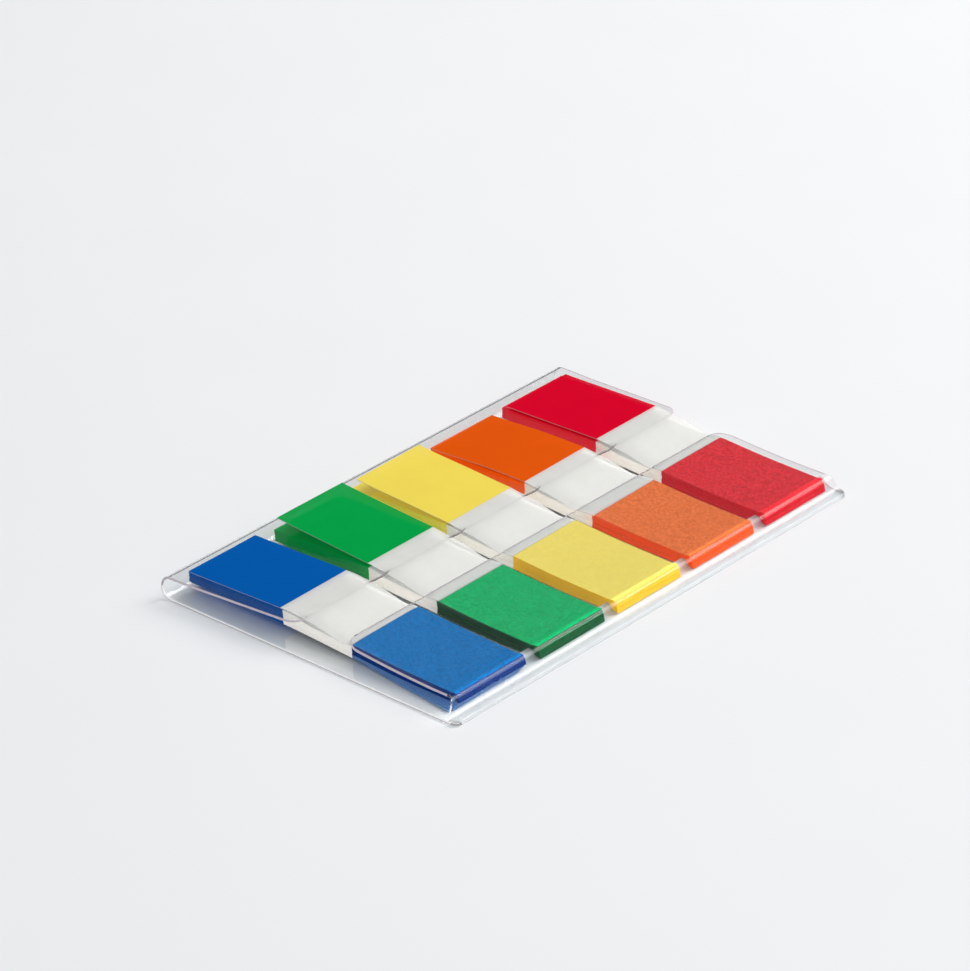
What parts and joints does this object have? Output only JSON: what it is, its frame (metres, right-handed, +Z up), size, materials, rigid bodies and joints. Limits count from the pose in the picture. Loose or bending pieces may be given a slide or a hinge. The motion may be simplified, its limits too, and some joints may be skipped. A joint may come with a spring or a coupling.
{
  "type": "sticky index tabs in a dispenser sleeve",
  "caption": "Flat clear sleeve, folded from one sheet, that holds side-by-side stacks of coloured film index tabs; each stack's top tab is popped out over the front flap.",
  "frame": {"origin": "under the middle of the sleeve, on the plane that its base sheet rests on", "axes": "+X along the tabs, from the round fold to the pressed fold; +Y across the stacks, from blue to red; +Z up, out of the base sheet"},
  "size_m": [0.051, 0.0736, 0.0052],
  "materials": {
    "clear_sheet": "clear glossy polyester sheet, creased to a fold",
    "blue_film": "thin polyester film with a blue end, smooth above, and a matte whitish clear end",
    "green_film": "thin polyester film with a green end, smooth above, and a matte whitish clear end",
    "yellow_film": "thin polyester film with a yellow end, smooth above, and a matte whitish clear end",
    "orange_film": "thin polyester film with a orange end, smooth above, and a matte whitish clear end",
    "red_film": "thin polyester film with a red end, smooth above, and a matte whitish clear end"
  },
  "bodies": {
    "root": {"dispenser_sleeve": "clear_sheet", "blue_stack": "blue_film", "blue_popped_tab": "blue_film", "green_stack": "green_film", "green_popped_tab": "green_film", "yellow_stack": "yellow_film", "yellow_popped_tab": "yellow_film", "orange_stack": "orange_film", "orange_popped_tab": "orange_film", "red_stack": "red_film", "red_popped_tab": "red_film"}
  },
  "joints": []
}
